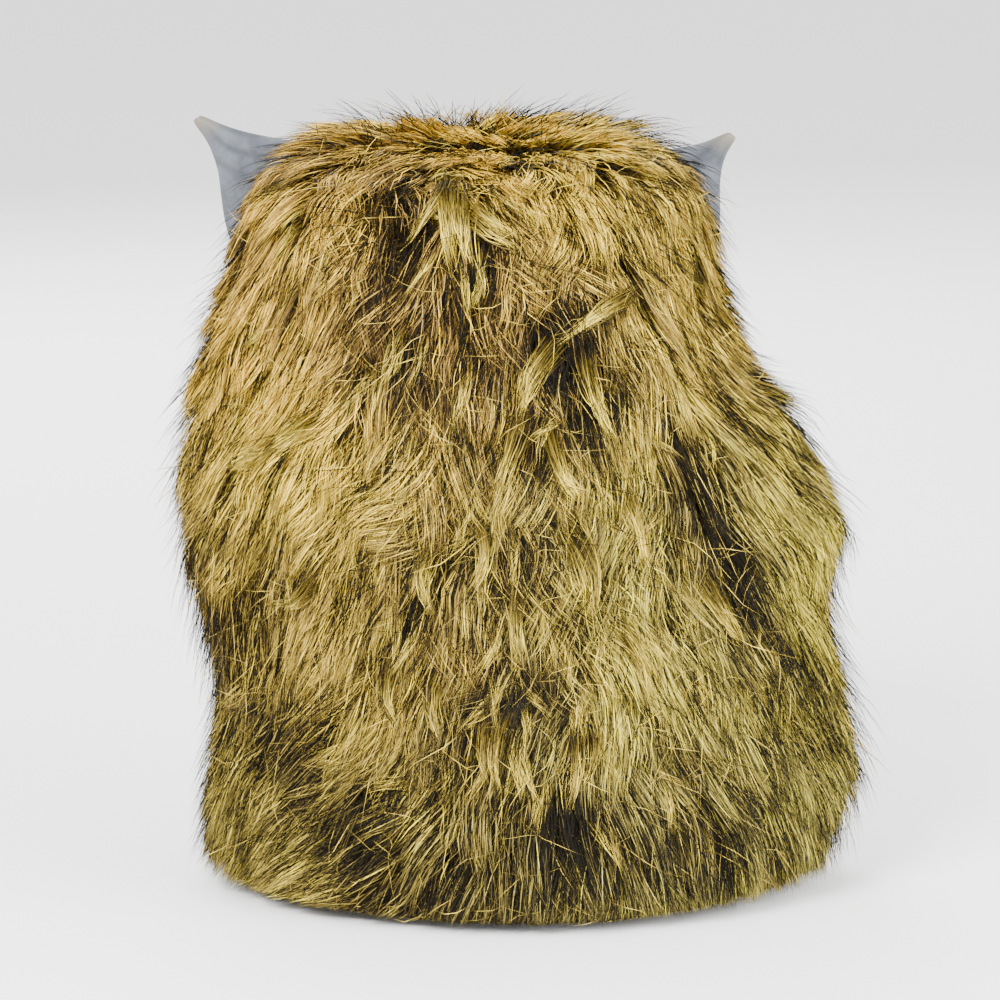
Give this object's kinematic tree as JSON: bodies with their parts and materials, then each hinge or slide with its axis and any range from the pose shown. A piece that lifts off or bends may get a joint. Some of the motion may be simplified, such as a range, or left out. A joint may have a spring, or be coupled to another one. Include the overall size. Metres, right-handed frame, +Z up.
{
  "type": "werewolf mask",
  "caption": "Hollow pull-over wolf head of thin latex with eye holes, a muzzle and pointed ears, under a deep fur hood; it stands on its open neck rim.",
  "frame": {"origin": "on the floor under the middle of the mask's box, in the plane of the flat neck rim", "axes": "+Z up through the crown, the face looks along -Y, +X to the wearer's left"},
  "size_m": [0.3576, 0.3498, 0.3783],
  "materials": {
    "cast_latex": "satin",
    "ear_latex": "satin",
    "long_fur": "long pile"
  },
  "bodies": {
    "root": {"latex_mask": "cast_latex", "ear_left": "ear_latex", "ear_right": "ear_latex", "fur_hood": "long_fur"}
  },
  "joints": []
}
